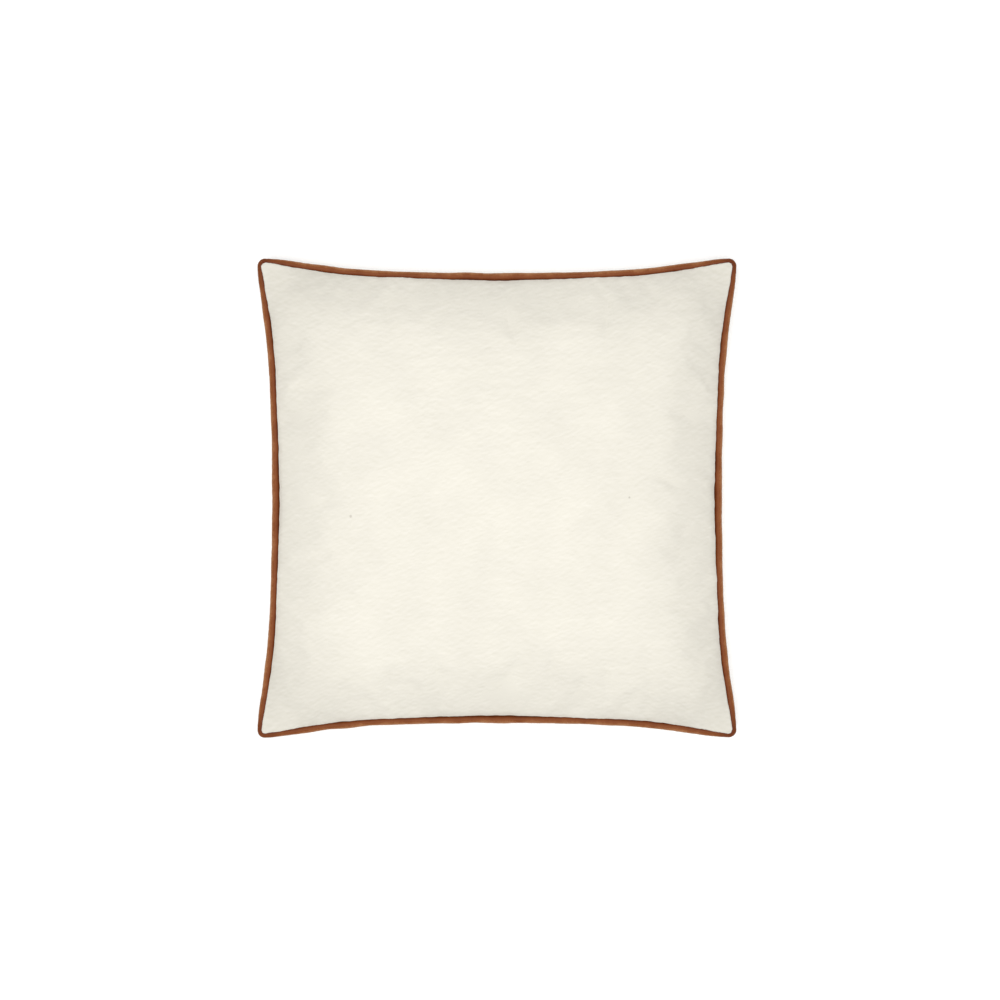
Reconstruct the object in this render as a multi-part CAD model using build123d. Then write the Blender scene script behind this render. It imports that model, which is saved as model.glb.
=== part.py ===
from build123d import *

import os
from itertools import product
from math import atan2, comb, cos, degrees, hypot, radians, sin, tan

import numpy as np

# A square throw pillow: a woven cover with leather piping sewn round its edge, a coil zip in the
# bottom side of the back panel, and a loose insert inside. It lies on its back. +X is the front
# face's right, +Y its top and +Z points out of the front face. The origin is the middle of the flat
# patch that it rests on. Everything is built about the seam plane, where the panels and the piping
# meet, and is lifted onto the floor when it is written. Sizes are in millimetres.

# --- the finished cover
width = 508.0  # over the piping, left to right, at the corners
height = 508.0  # over the piping, bottom to top, at the corners
side_inset = 15.4  # how far the middle of each side pulls in from the corners
front_crown = 75.0  # the front panel's middle above the seam plane
back_crown = 66.0  # the back panel's middle, below the seam plane, if nothing pressed on it
rest_depth = 56.0  # the floor presses the back panel flat at this depth
cloth = 1.2  # the woven cloth's thickness
seam_allowance = 11.6  # cloth turned inwards, from the seam line
seam_gap = 0.6  # between the bead and the cloth beside it

# --- the leather piping
cord_radius = 2.9
cord_clearance = 0.1
leather = 1.0
flange_width = 11.0  # from the bead's skin inwards
corner_bend = 4.3  # radius of the bead's centre line at each corner
side_runs = 24  # straight runs in each side of the bead
side_sweep = 70  # the runs shorten towards the corners as steps of an arc of this many degrees do

# --- threads
thread_width = 0.8
thread_height = 0.3
overlock = 0.4  # thickness of the overlocked edge on the allowances
overlock_gap = 0.5  # between it and the cut edges
cover_stitch_line = 2.6  # from the seam line inwards
layer_gap = 0.2  # between layers sewn together
wall_slant = 1.25  # a wall measured level near a crown's edge, over its thickness
end_play = 0.5  # room past the end of a piece that lies in a seam or a slot

# --- the zip
zip_length = 305.0  # over its stops
zip_slope = 60.0  # degrees that the chain leans down and inwards from the seam plane
chain_centre = 6.4  # from the seam line down the slope to the middle of the chain
coil_width = 1.5
coil_height = 1.5
coil_gap = 1.2  # room for the slider's post between the two coils
tape = 0.6  # tape thickness
tape_edge = 0.1  # how far each tape reaches past its coil towards the gap
tape_rise = 0.15  # the tape's outer face above the level half a coil below the chain's plane
tape_clearance = 0.45  # between the slider and the flat part of the lower tape
tape_end = 6.0  # tape left beyond each stop
tape_lap = 14.1  # how far the lower tape and the hem reach in from the seam line
stop_length = 3.0
stop_rise = 0.1  # the metal stops stand this far above the coils
tack_width = 1.5
tack_height = 0.8
upper_stitch_row = 7.6  # from the seam line inwards
lower_stitch_row = 10.6
run_gap = 0.3  # between the slider and what it slides along

# --- the slider and its pull tab
slider_length = 8.0
slider_width = 6.4
plate = 0.8
plate_corner = 1.6
post_width = 0.6
post_length = 1.5
post_back = 0.6  # from the slider's front end
bridge_width = 1.8
bridge_leg = 0.9
bridge_span = 5.2  # over both legs, along the chain
bridge_room = 1.8  # height of the hole that the pull tab's bar turns in
bridge_top = 0.7
bridge_play = 0.4  # between the bridge and each arm of the pull tab
tab_bar = 0.6  # the bar's radius
tab_arm = 1.2
tab_slot = 4.0  # from the bar to the end of the slot that clears the bridge
tab_length = 19.0
tab_tip = 3.4  # radius of the rounded tip

# --- the insert
insert_clearance = 2.5  # between its edge and the cover's allowances
ticking = 0.5
insert_allowance = 8.0
insert_stitch_line = 2.0
fill_clearance = 0.9

# --- the labels
care_label = (30.0, 0.5)  # width and thickness
care_label_start = 5.0  # its sewn end, from the seam line inwards
care_label_gap = 0.3  # past the overlocked edge, before it bends down
care_label_reach = 34.0  # its free end, from the bead's centre line inwards
insert_label = (40.0, 0.3)
insert_label_reach = 33.0
insert_label_out = 0.9  # its sewn end, outside the insert's edge
insert_label_lean = 0.4  # how much further in it is where it bends
insert_label_rise = 2.0  # of that bend above the insert's rim

# --- worked out from the above
degree = 8  # of the two profile formulas
grid = 8  # a crown is a grid of this many faces each way
bead = cord_radius + cord_clearance + leather
half_x = width / 2 - bead  # the bead's centre line, at the corners
half_y = height / 2 - bead
seam = bead + seam_gap  # the seam line, inwards from the bead's centre line
allowance_end = seam + seam_allowance
layer = leather + layer_gap  # the panels' allowances lie this far from the seam plane
thread_room = thread_height + 3 * layer_gap
rim = 2 * cloth + thread_room  # thickness of a panel at its edge: allowance, thread and face
insert_edge = allowance_end + insert_clearance
insert_end = insert_edge + insert_allowance
insert_rim = 2 * ticking + thread_room
insert_layer = layer_gap


def pull_in(t):
    """Share of the side's inset at t along it, from -1 at one corner to 1 at the next."""
    return 1 - 0.58 * t**2 - 2.34 * t**6 + 1.92 * t**8


def crown(t):
    """Share of the crown's height at t across the pillow, from -1 at one seam to 1 at the other."""
    return 1 - 0.5 * t**2 - 0.5 * t**8


def side_x(inward, y):
    """The right side's distance from the middle, a distance inside the bead's centre line."""
    return half_x - inward - side_inset * pull_in(y / half_y)


def side_y(inward, x):
    """The same for the top side."""
    return half_y - inward - side_inset * pull_in(x / half_x)


def corner(inward):
    """Where the right and top sides meet."""
    x, y = half_x - inward, half_y - inward
    for _ in range(10):
        x, y = side_x(inward, y), side_y(inward, x)
    return x, y


def patches(inward, z0, rise):
    """Smooth faces over the whole outline, side by side, rising to rise in the middle of it."""
    corner_x, corner_y = corner(inward)
    places = np.arange(degree + 1) / degree
    orders = range(degree + 1)
    basis = [[comb(degree, k) * s**k * (1 - s) ** (degree - k) for k in orders] for s in places]
    solve = np.linalg.inv(np.array(basis))
    starts = np.linspace(-1, 1, grid, endpoint=False)
    faces = []
    for u0, v0 in product(starts, starts):
        u, v = np.meshgrid(u0 + places * 2 / grid, v0 + places * 2 / grid, indexing="ij")
        x = u * side_x(inward, v * corner_y)
        y = v * side_y(inward, u * corner_x)
        z = z0 + rise * crown(u) * crown(v)
        points = np.stack([solve @ values @ solve.T for values in (x, y, z)], axis=-1)
        faces.append(Face.make_bezier_surface([[Vector(*p) for p in row] for row in points]))
    return faces


def base_of(faces, z0):
    """The flat face that closes a crown at its edge."""
    level = [e for f in faces for e in f.edges() if abs((e @ 0.5).Z - z0) < 1e-6]
    return Face(Wire(level))


def slab(inward, z0, z1):
    """Everything inside the outline, between two heights."""
    low, high = min(z0, z1), max(z0, z1)
    return extrude(base_of(patches(inward, low, 1), low), high - low, dir=(0, 0, 1))


def ring(outer, inner, z0, z1):
    """A flat ring between two outlines and two heights."""
    return slab(outer, z0, z1) - slab(inner, min(z0, z1) - 1, max(z0, z1) + 1)


def dome(inward, z0, rise):
    """A closed crown over the outline: smooth faces and a flat base."""
    top = patches(inward, z0, rise)
    return Solid(Shell(top + [base_of(top, z0)]))


def half_pillow(inward, side, z0, rim_height, top):
    """A crown on a straight rim, on the front (side 1) or back (side -1) of the seam plane.

    z0 and top are distances from the seam plane.
    """
    low = slab(inward, side * z0, side * (z0 + rim_height))
    return low + dome(inward, side * (z0 + rim_height), side * (top - z0 - rim_height))


def above(depth):
    """All the space above a floor that far below the seam plane."""
    return Pos(0, 0, 500 - depth) * Box(2 * width, 2 * height, 1000)


def shell(inward, side, z0, wall, rim_height, top, turned_in, floor):
    """One half of a sewn cover: its face, and the allowance turned in along its edge."""
    outside = half_pillow(inward, side, z0, rim_height, top)
    hollow = half_pillow(inward + wall_slant * wall, side, z0 + wall, rim_height - 2 * wall, top - wall)
    if side < 0:
        outside = outside & above(floor)
        hollow = hollow & above(floor - wall)
    return outside - hollow - slab(turned_in, side * (z0 - 1), side * (z0 + wall + layer_gap))


def crown_height(inward, z0, rim_height, top, s):
    """Height of a half pillow's face above the seam plane, at s from the middle of a side."""
    t = (half_x - side_inset - s) / (half_x - side_inset - inward)
    return z0 + rim_height + (top - z0 - rim_height) * crown(t)


# --- the piping
def bead_path():
    """The bead's centre line, as short runs joined by tangent arcs, and a tight bend at each corner."""
    steps = [sin(radians(side_sweep * (2 * k / side_runs - 1))) / sin(radians(side_sweep))
             for k in range(side_runs)]
    corner_x, corner_y = corner(0)
    points = [(side_x(0, t * corner_y), t * corner_y) for t in steps]
    points += [(-t * corner_x, side_y(0, t * corner_x)) for t in steps]
    points += [(-x, -y) for x, y in points]
    radii = []
    for i, (x, y) in enumerate(points):
        before, after = points[i - 1], points[(i + 1) % len(points)]
        run_in, run_out = (x - before[0], y - before[1]), (after[0] - x, after[1] - y)
        turn = atan2(run_in[0] * run_out[1] - run_in[1] * run_out[0],
                     run_in[0] * run_out[0] + run_in[1] * run_out[1])
        shorter = min(hypot(*run_in), hypot(*run_out))
        radii.append(corner_bend if i % side_runs == 0 else 0.45 * shorter / abs(tan(turn / 2)))
    return FilletPolyline(*points, radius=radii, close=True)


def tube(path, radius):
    """A round bar along the bead."""
    section = Plane(origin=path @ 0, z_dir=path % 0) * Circle(radius)
    return sweep(section, path=path)


path = bead_path()
flange_start = bead - leather / 2
sleeve_room = tube(path, cord_radius + cord_clearance)
flange = ring(flange_start, bead + flange_width, -leather, leather)
piping_sleeve = tube(path, bead) + flange - sleeve_room
piping_filler_cord = tube(path, cord_radius)

# --- the zip's place: it follows the bottom side, on one circle about a far upright axis
bottom = half_y - side_inset  # the bead's centre line at the middle of the bottom side
zip_half = zip_length / 2
sag = side_inset * (1 - pull_in(zip_half / half_x))
bow = (zip_half**2 + sag**2) / (2 * sag)
axis_y = -bottom - bow
zip_axis = Axis((0, axis_y, 0), (0, 0, 1))
slope_in, slope_down = cos(radians(zip_slope)), sin(radians(zip_slope))
chain_start = seam - seam_gap / 2  # where the chain's plane leaves the seam


def on_chain(down, out):
    """(inward, z) of a point that far down the chain's slope, and that far out of its plane."""
    return (chain_start + down * slope_in - out * slope_down,
            -layer - down * slope_down - out * slope_in)


def chain_at_z(z, out):
    """(inward, z) where a line parallel to the chain's plane reaches a height."""
    return on_chain((-layer - z - out * slope_in) / slope_down, out)


def along_zip(section, start, end):
    """A section of (inward, z) points, carried along the zip from start to end, towards +X."""
    face = Face(Wire(Polyline(*[(0, s - bottom, z) for s, z in section], close=True).edges()))
    face = face.rotate(zip_axis, -degrees(end / bow))
    return revolve(face, axis=zip_axis, revolution_arc=degrees((end - start) / bow))


def block(down, out, start, end):
    """A plain bar on the chain: a range down its slope and a range out of its plane."""
    corners = [(down[0], out[0]), (down[1], out[0]), (down[1], out[1]), (down[0], out[1])]
    return along_zip([on_chain(*c) for c in corners], start, end)


tape_outer = -coil_height / 2 + tape_rise  # the tape's outer face, out of the chain's plane
tape_inner = tape_outer - tape
coil_low = tape_outer + layer_gap
coil_high = coil_low + coil_height
upper_coil = (chain_centre - coil_gap / 2 - coil_width, chain_centre - coil_gap / 2)
lower_coil = (chain_centre + coil_gap / 2, chain_centre + coil_gap / 2 + coil_width)
plates = (chain_centre - slider_width / 2, chain_centre + slider_width / 2)
under_plate = (tape_inner - run_gap - plate, tape_inner - run_gap)
over_plate = (coil_high + run_gap, coil_high + run_gap + plate)

upper_top = -layer - layer_gap  # the upper tape lies under the piping's flange
upper_low = upper_top - tape
lower_top = on_chain(plates[1], under_plate[1])[1] - tape_clearance
lower_low = lower_top - tape
hem_top = lower_low - layer_gap
hem_low = hem_top - cloth
tape_half = zip_half + tape_end
slot_half = tape_half + end_play
lap = seam + tape_lap
upper_lap = bead + flange_width + end_play

# --- the cover's panels
front_panel = shell(seam, 1, layer, cloth, rim, front_crown, allowance_end, 0)
back_panel = shell(seam, -1, layer, cloth, rim, back_crown, allowance_end, rest_depth)
hem_cut = hem_top + layer_gap  # the slot is cut back to the hem's own top
hem = along_zip([(-bead, hem_low), (lap, hem_low), (lap, hem_cut), (-bead, hem_cut)],
                -slot_half, slot_half)
back_panel = back_panel + (hem & half_pillow(seam, -1, layer, rim, back_crown))
slot = along_zip([(-bead, hem_top), (2 * lap, hem_top), (2 * lap, -layer / 2), (-bead, -layer / 2)],
                 -slot_half, slot_half)
back_panel = back_panel - slot

stitch = seam + cover_stitch_line
thread_low = layer + cloth + layer_gap
cover_seam_needle_thread = ring(stitch, stitch + thread_width, thread_low, thread_low + thread_height)
cover_seam_bobbin_thread = ring(stitch, stitch + thread_width, -thread_low, -thread_low - thread_height)
cover_seam_bobbin_thread = cover_seam_bobbin_thread - slot
edge = allowance_end + overlock_gap
cover_overlock_thread = ring(edge, edge + overlock, -layer - cloth, layer + cloth)

# --- the zip's pieces
chain_half = zip_half - stop_length - layer_gap
upper_tape_end, lower_tape_end = upper_coil[1] + tape_edge, lower_coil[0] - tape_edge
zip_tape_upper = along_zip(
    [(upper_lap, upper_top), chain_at_z(upper_top, tape_outer), on_chain(upper_tape_end, tape_outer),
     on_chain(upper_tape_end, tape_inner), chain_at_z(upper_low, tape_inner), (upper_lap, upper_low)],
    -tape_half, tape_half)
zip_tape_lower = along_zip(
    [on_chain(lower_tape_end, tape_outer), chain_at_z(lower_low, tape_outer), (lap, lower_low),
     (lap, lower_top), chain_at_z(lower_top, tape_inner), on_chain(lower_tape_end, tape_inner)],
    -tape_half, tape_half)
zip_coil_upper = block(upper_coil, (coil_low, coil_high), -chain_half, chain_half)
zip_coil_lower = block(lower_coil, (coil_low, coil_high), -chain_half, chain_half)
stop_band = (coil_low, coil_high + stop_rise)
zip_top_stops = Compound([block(coil, stop_band, zip_half - stop_length, zip_half)
                          for coil in (upper_coil, lower_coil)])
zip_bottom_stop = block((upper_coil[0], lower_coil[1]), stop_band, -zip_half, stop_length - zip_half)
tack_start = zip_half + tape_end / 2
tack_band = (coil_low, coil_low + tack_height)
zip_bar_tacks = Compound([block(plates, tack_band, start, start + tack_width)
                          for start in (tack_start, -tack_start - tack_width)])


def zip_row(row, z):
    """A row of stitches along the zip, that far from the seam line, with its underside at z."""
    near, far, high = seam + row, seam + row + thread_width, z + thread_height
    end = tape_half - tape_end / 2
    return along_zip([(near, z), (far, z), (far, high), (near, high)], -end, end)


zip_stitching = Compound([zip_row(upper_stitch_row, upper_low - layer_gap - thread_height),
                          zip_row(lower_stitch_row, lower_top + layer_gap)])


# --- the slider and its pull tab, built flat: X along the chain, Y up its slope, Z out of its plane
def centred(length, across, low, high):
    """A bar about the slider's middle, between two heights out of the chain's plane."""
    return Pos(0, 0, (low + high) / 2) * Box(length, across, high - low)


def slider_plate(low, high):
    """One of the slider's two plates, with rounded corners."""
    flat = RectangleRounded(slider_length, slider_width, plate_corner)
    return Pos(0, 0, low) * extrude(flat, high - low, dir=(0, 0, 1))


def make_slider():
    """Two plates joined by a thin post between the coils, and a bridge for the pull tab."""
    base = over_plate[1]
    bridge_high = base + bridge_room + bridge_top
    post = Pos((slider_length - post_length) / 2 - post_back, 0) * centred(
        post_length, post_width, under_plate[0] + plate / 2, base - plate / 2)
    bridge = centred(bridge_span, bridge_width, base - plate / 2, bridge_high)
    bridge -= centred(bridge_span - 2 * bridge_leg, 2 * bridge_width, base, base + bridge_room)
    bridge = fillet(bridge.edges().filter_by(Axis.Y).group_by(Axis.Z)[-1], bridge_top)
    return slider_plate(*under_plate) + slider_plate(*over_plate) + post + bridge


def make_tab():
    """A flat pull, wider at its tip, whose bar turns under the slider's bridge."""
    inner = bridge_width / 2 + bridge_play
    outer = inner + tab_arm
    bar = Rot(90, 0, 0) * Cylinder(tab_bar, 2 * outer)
    tip = tab_length - tab_tip
    outline = Polyline((0, -outer), (tip, -tab_tip), (tip, tab_tip), (0, outer), close=True)
    flat = make_face(outline.edges())
    flat += Pos(tip, 0) * Circle(tab_tip)
    flat -= Pos(tab_slot / 2, 0) * Rectangle(tab_slot, 2 * inner)
    flat -= Pos(tip, 0) * Circle(tab_tip - tab_arm)
    body = Pos(0, 0, -tab_bar) * extrude(flat, 2 * tab_bar, dir=(0, 0, 1))
    return body + bar


slider_at = chain_half - slider_length / 2 - end_play
travel = degrees(2 * slider_at / bow)
middle_in, middle_z = on_chain(chain_centre, 0)
upright = Plane(origin=(0, middle_in - bottom, middle_z), x_dir=(1, 0, 0),
                z_dir=(0, -slope_down, -slope_in))
turn_to_rest = -degrees(slider_at / bow)
pivot_out = over_plate[1] + bridge_room / 2
zip_slider = (upright.location * make_slider()).rotate(zip_axis, turn_to_rest)
zip_pull_tab = (upright.location * Pos(0, 0, pivot_out) * make_tab()).rotate(zip_axis, turn_to_rest)

# --- the insert
insert_top = front_crown - cloth - fill_clearance
insert_back = back_crown - cloth - fill_clearance
insert_floor = rest_depth - cloth - fill_clearance
insert_front_shell = shell(insert_edge, 1, insert_layer, ticking, insert_rim, insert_top, insert_end, 0)
insert_back_shell = shell(insert_edge, -1, insert_layer, ticking, insert_rim, insert_back, insert_end,
                          insert_floor)
insert_stitch = insert_edge + insert_stitch_line
insert_thread_low = insert_layer + ticking + layer_gap
insert_seam_thread = ring(insert_stitch, insert_stitch + thread_width,
                          insert_thread_low, insert_thread_low + thread_height)
fill_edge = insert_edge + wall_slant * ticking + fill_clearance
fill_base = insert_layer + insert_rim - ticking - layer_gap
fill_wall = ticking + fill_clearance
insert_fill = (dome(fill_edge, fill_base, insert_top - fill_wall - fill_base)
               + slab(insert_end + fill_clearance, -fill_base, fill_base)
               + (dome(fill_edge, -fill_base, fill_base + fill_wall - insert_back)
                  & above(insert_floor - fill_wall)))


# --- the blank labels, bent strips that hang between the cover and the insert
def label(points, size, side):
    """A strip of that width and thickness along (inward, z) points, at the middle of a side."""
    wide, thick = size
    line = points + [(s, z - thick) for s, z in reversed(points)]
    middle = half_x - side_inset
    face = Face(Wire(Polyline(*[(side * (middle - s), wide / 2, z) for s, z in line], close=True).edges()))
    return extrude(face, wide, dir=(0, -1, 0))


def between(side, s):
    """Half way between the insert's face and the inside of the cover."""
    top = front_crown if side > 0 else back_crown
    cover_in = crown_height(seam + wall_slant * cloth, layer + cloth, rim - 2 * cloth, top - cloth, s)
    insert_out = crown_height(insert_edge, insert_layer, insert_rim,
                              insert_top if side > 0 else insert_back, s)
    return side * (cover_in + insert_out) / 2


label_top = -layer - cloth - layer_gap
cover_care_label = label([(seam + care_label_start, label_top), (edge + overlock + care_label_gap, label_top),
                          (care_label_reach, between(-1, care_label_reach))], care_label, -1)
label_out = insert_edge - insert_label_out
insert_label_piece = label([(label_out, layer_gap), (label_out + insert_label_lean, insert_rim + insert_label_rise),
                            (insert_label_reach, between(1, insert_label_reach))], insert_label, 1)

# --- every piece, by the name of its file
pieces = {
    "front_panel": front_panel,
    "back_panel": back_panel,
    "piping_sleeve": piping_sleeve,
    "piping_filler_cord": piping_filler_cord,
    "cover_seam_needle_thread": cover_seam_needle_thread,
    "cover_seam_bobbin_thread": cover_seam_bobbin_thread,
    "cover_overlock_thread": cover_overlock_thread,
    "cover_care_label": cover_care_label,
    "zip_tape_upper": zip_tape_upper,
    "zip_tape_lower": zip_tape_lower,
    "zip_coil_upper": zip_coil_upper,
    "zip_coil_lower": zip_coil_lower,
    "zip_top_stops": zip_top_stops,
    "zip_bottom_stop": zip_bottom_stop,
    "zip_bar_tacks": zip_bar_tacks,
    "zip_stitching": zip_stitching,
    "zip_slider": zip_slider,
    "zip_pull_tab": zip_pull_tab,
    "insert_front_shell": insert_front_shell,
    "insert_back_shell": insert_back_shell,
    "insert_fill": insert_fill,
    "insert_seam_thread": insert_seam_thread,
    "insert_label": insert_label_piece,
}
os.makedirs("parts", exist_ok=True)
for name, piece in pieces.items():
    export_step(Pos(0, 0, rest_depth) * piece, f"parts/{name}.step")

pivot = Vertex(*upright.from_local_coords(Vector(0, 0, pivot_out))).rotate(zip_axis, turn_to_rest).center()
pivot += Vector(0, 0, rest_depth)
slope_axis = Vector(0, slope_in, -slope_down).rotate(Axis.Z, turn_to_rest)
print("slider's axis:", 0, round(axis_y, 4), " travel:", round(travel, 4), "degrees")
print("pull tab's pivot:", [round(c, 4) for c in pivot], " axis:", [round(c, 6) for c in slope_axis])
print("seam plane height:", rest_depth, " bow of the zip:", round(bow, 1))
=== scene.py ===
# %% [markdown]
# # A piped throw pillow
# The pillow lies on its back on a pale studio floor. A crinkled ivory cloth covers a loose insert, a round
# leather piping runs round the seam, and a coil zip hides in the bottom side of the back panel. The CAD model
# is the fixed frame. It says where each piece goes and how the zip moves, and the soft pieces are rebuilt
# around it.

# %% The frame
import math

import bmesh
import bpy
import numpy as np
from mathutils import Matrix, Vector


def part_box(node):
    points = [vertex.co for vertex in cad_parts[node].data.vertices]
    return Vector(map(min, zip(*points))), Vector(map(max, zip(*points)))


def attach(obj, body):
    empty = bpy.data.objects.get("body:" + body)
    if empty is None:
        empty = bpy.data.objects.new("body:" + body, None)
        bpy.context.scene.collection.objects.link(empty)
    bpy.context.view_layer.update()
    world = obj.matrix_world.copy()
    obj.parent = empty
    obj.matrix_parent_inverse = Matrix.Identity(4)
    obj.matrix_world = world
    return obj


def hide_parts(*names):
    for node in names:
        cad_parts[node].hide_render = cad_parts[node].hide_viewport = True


MM = 0.001
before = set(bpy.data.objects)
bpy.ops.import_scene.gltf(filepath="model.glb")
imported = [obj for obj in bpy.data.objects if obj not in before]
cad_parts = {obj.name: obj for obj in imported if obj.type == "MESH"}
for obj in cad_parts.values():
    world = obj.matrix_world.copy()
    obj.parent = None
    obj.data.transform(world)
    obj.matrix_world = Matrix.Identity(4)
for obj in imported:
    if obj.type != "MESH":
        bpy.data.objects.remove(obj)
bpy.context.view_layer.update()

# %% [markdown]
# ## The pillow's sizes
# A sewn pillow is two square panels joined at a seam plane. We keep every length in millimetres, measured
# from the middle of the pillow and from that plane, because that is how a maker would mark the cloth. One
# function turns a finished list of points into metres in the frame. The overall size and the height of the
# seam plane are read from the CAD nodes, so the soft pieces fit the frame whatever its size.

# %% Sizes in millimetres
bead = 4.0  # radius of the leather piping
sleeve_low, sleeve_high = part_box("piping_sleeve")
half_x = sleeve_high.x / MM - bead  # centre line of the piping, at the corners
half_y = sleeve_high.y / MM - bead
seam_height = (sleeve_low.z + sleeve_high.z) / 2  # metres above the floor
front_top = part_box("front_panel")[1].z / MM - seam_height / MM
rest_depth = seam_height / MM  # the floor lies this far below the seam plane
back_top = 66.0  # how deep the back would hang if no floor pressed on it
side_inset = 15.4  # how far the middle of each side pulls in
cloth = 1.2
seam = 4.6  # the sewn line, inwards from the piping's centre line
rim = 4.5  # where each crown starts, from the seam plane
print(f"piping centre line {2 * half_x:.1f} x {2 * half_y:.1f} mm, seam plane {rest_depth:.1f} mm up")


# %% [markdown]
# ## The rule for the outline and the crown
# Filling pulls the sides of a square cover in between its corners, and leaves the corners as little ears. Two
# short formulas give that outline and the height of the crown. Any ring at a fixed distance inside the piping
# follows the same outline, so one rule places the cloth, the flange, the threads and the insert.

# %% Outline and crown
def pull_in(t):
    """Share of the side's inset at t along it, from -1 at one corner to 1 at the next."""
    return 1 - 0.58 * t**2 - 2.34 * t**6 + 1.92 * t**8


def crown(t):
    """Share of the crown's height at t across the pillow, from -1 at one seam to 1 at the other."""
    return 1 - 0.5 * t**2 - 0.5 * t**8


def side_x(inward, y):
    """Distance of the right side from the middle, a distance inside the piping's centre line."""
    return half_x - inward - side_inset * pull_in(y / half_y)


def side_y(inward, x):
    """The same for the top side."""
    return half_y - inward - side_inset * pull_in(x / half_x)


def corner(inward):
    """Where the right and top sides meet."""
    x, y = half_x - inward, half_y - inward
    for _ in range(8):
        x, y = side_x(inward, y), side_y(inward, x)
    return x, y


def place(u, v, inward_x, inward_y):
    """Plan position of the cloth's own coordinates u and v, each from -1 to 1 between the sides."""
    edge_x, edge_y = corner(inward_x)[0], corner(inward_y)[1]
    return u * side_x(inward_x, v * edge_y), v * side_y(inward_y, u * edge_x)


def waves(x, y, seed, count, pitch_x, pitch_y, spread=0.35):
    """Smooth seeded unevenness about -1 to 1 high: many waves whose pitches differ by the spread."""
    rng = np.random.default_rng(seed)
    total = np.zeros(np.broadcast(x, y).shape)
    for _ in range(count):
        turn_x = rng.normal(0, 1) / pitch_x
        turn_y = (1 + spread * rng.normal(0, 1)) / pitch_y if pitch_y else 0.0
        total += np.sin(2 * np.pi * (turn_x * x + turn_y * y + rng.random()))
    return total / math.sqrt(count)


print("corner of the seam at", [round(float(c), 1) for c in corner(seam)], "mm")


# %% [markdown]
# ## From points to a piece
# Each soft piece is a list of points and a list of faces. The object stays at the origin and its place is in
# its mesh, as for a CAD node, so that patterns on object coordinates stay put. A second coordinate set, the
# UV map named cloth, holds metres measured along the flat cloth, so a weave keeps its size on the steep
# sides.

# %% Making a piece
def make_piece(name, points, faces, material, body="cushion", flat=None, marks=None):
    """A mesh object from points in millimetres about the seam plane, finished and riding on its body."""
    mesh = bpy.data.meshes.new(name)
    placed = np.asarray(points, float) * MM + (0, 0, seam_height)
    mesh.from_pydata(placed.tolist(), [], faces)
    mesh.polygons.foreach_set("use_smooth", [True] * len(mesh.polygons))
    if flat is not None:
        corners = np.zeros(len(mesh.loops), np.int32)
        mesh.loops.foreach_get("vertex_index", corners)
        layer = mesh.uv_layers.new(name="cloth")
        layer.data.foreach_set("uv", (np.asarray(flat) * MM)[corners].astype(np.float32).ravel())
    for mark, values in (marks or {}).items():
        stored = mesh.attributes.new(mark, "FLOAT", "POINT")
        stored.data.foreach_set("value", np.asarray(values, np.float32))
    mesh.materials.append(material)
    piece = bpy.data.objects.new(name, mesh)
    bpy.context.scene.collection.objects.link(piece)
    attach(piece, body)
    print(f"{name}: {len(mesh.vertices)} points, {len(mesh.polygons)} faces")
    return piece


# %% [markdown]
# ## Building materials
# A material is a small graph of nodes. One function adds a node, sets it up and links it. Colours are written
# as the hex codes of a colour card, and a second function turns them to the linear light that the renderer
# uses.

# %% Nodes and colours
def linear(code):
    """A hex colour as linear red, green, blue and alpha."""
    parts = [int(code[i:i + 2], 16) / 255 for i in (1, 3, 5)]
    return [c / 12.92 if c <= 0.04045 else ((c + 0.055) / 1.055) ** 2.4 for c in parts] + [1.0]


def add(tree, kind, inputs=None, **settings):
    """A node with its settings; an input is a number, a colour, or another node's output to link."""
    node = tree.nodes.new(kind)
    for key, value in settings.items():
        setattr(node, key, value)
    for key, value in (inputs or {}).items():
        if isinstance(value, bpy.types.NodeSocket):
            tree.links.new(value, node.inputs[key])
        else:
            node.inputs[key].default_value = value
    return node


def start_material(name):
    """An empty material and its surface shader, joined to the output."""
    material = bpy.data.materials.new(name)
    material.use_nodes = True
    tree = material.node_tree
    tree.nodes.clear()
    shader = add(tree, "ShaderNodeBsdfPrincipled")
    add(tree, "ShaderNodeOutputMaterial", {"Surface": shader.outputs["BSDF"]})
    return material, tree, shader


def per_mm(pitch):
    """Scale that gives a pattern this pitch in millimetres on coordinates in metres."""
    return 1 / (pitch * MM)
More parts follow.
